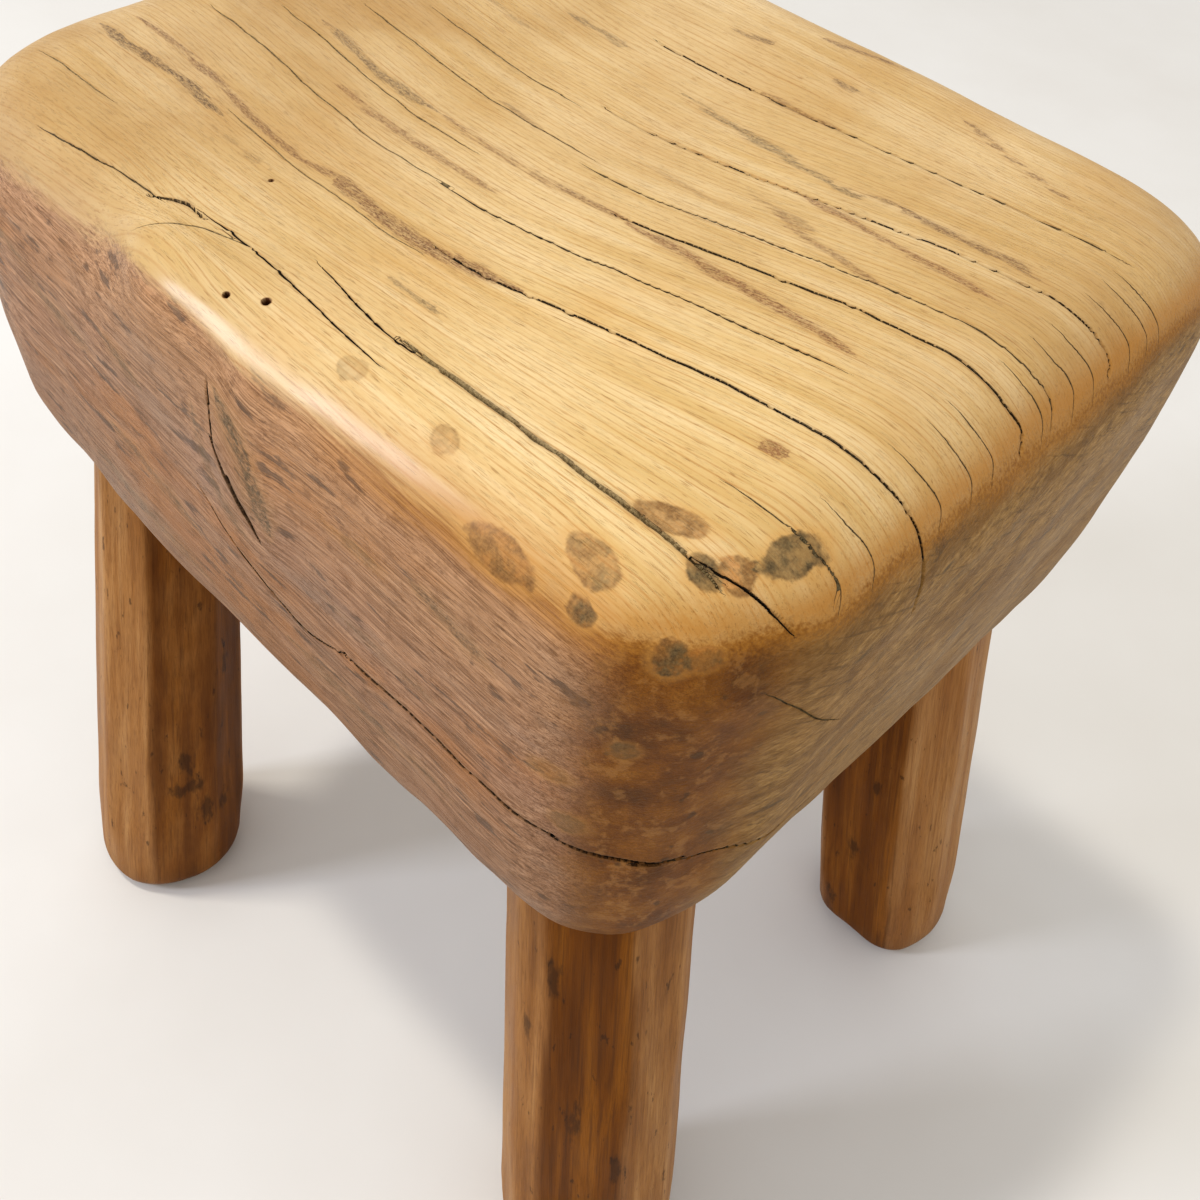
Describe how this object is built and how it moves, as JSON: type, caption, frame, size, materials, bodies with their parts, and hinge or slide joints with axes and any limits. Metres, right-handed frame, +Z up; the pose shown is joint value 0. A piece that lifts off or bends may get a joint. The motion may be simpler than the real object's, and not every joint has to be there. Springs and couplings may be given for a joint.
{
  "type": "milking stool",
  "caption": "Low wooden milking stool: a thick hewn oak block seat on splayed, faceted round legs held in blind mortises.",
  "frame": {"origin": "on the floor, under the middle of the stool's overall box", "axes": "+X along the grain and length of the seat, +Y across its width, +Z up"},
  "size_m": [0.3871, 0.3383, 0.44],
  "materials": {
    "seat_oak": "worn, waxed oak with a soft sheen",
    "leg_oak": "hand-shaved, darkened and waxed oak",
    "wedge_oak": "riven oak, unfinished"
  },
  "bodies": {
    "root": {"seat": "seat_oak", "leg_front_right": "leg_oak", "leg_front_left": "leg_oak", "leg_back_right": "leg_oak", "leg_back_left": "leg_oak", "wedge_front_right": "wedge_oak", "wedge_front_left": "wedge_oak", "wedge_back_right": "wedge_oak", "wedge_back_left": "wedge_oak"}
  },
  "joints": []
}
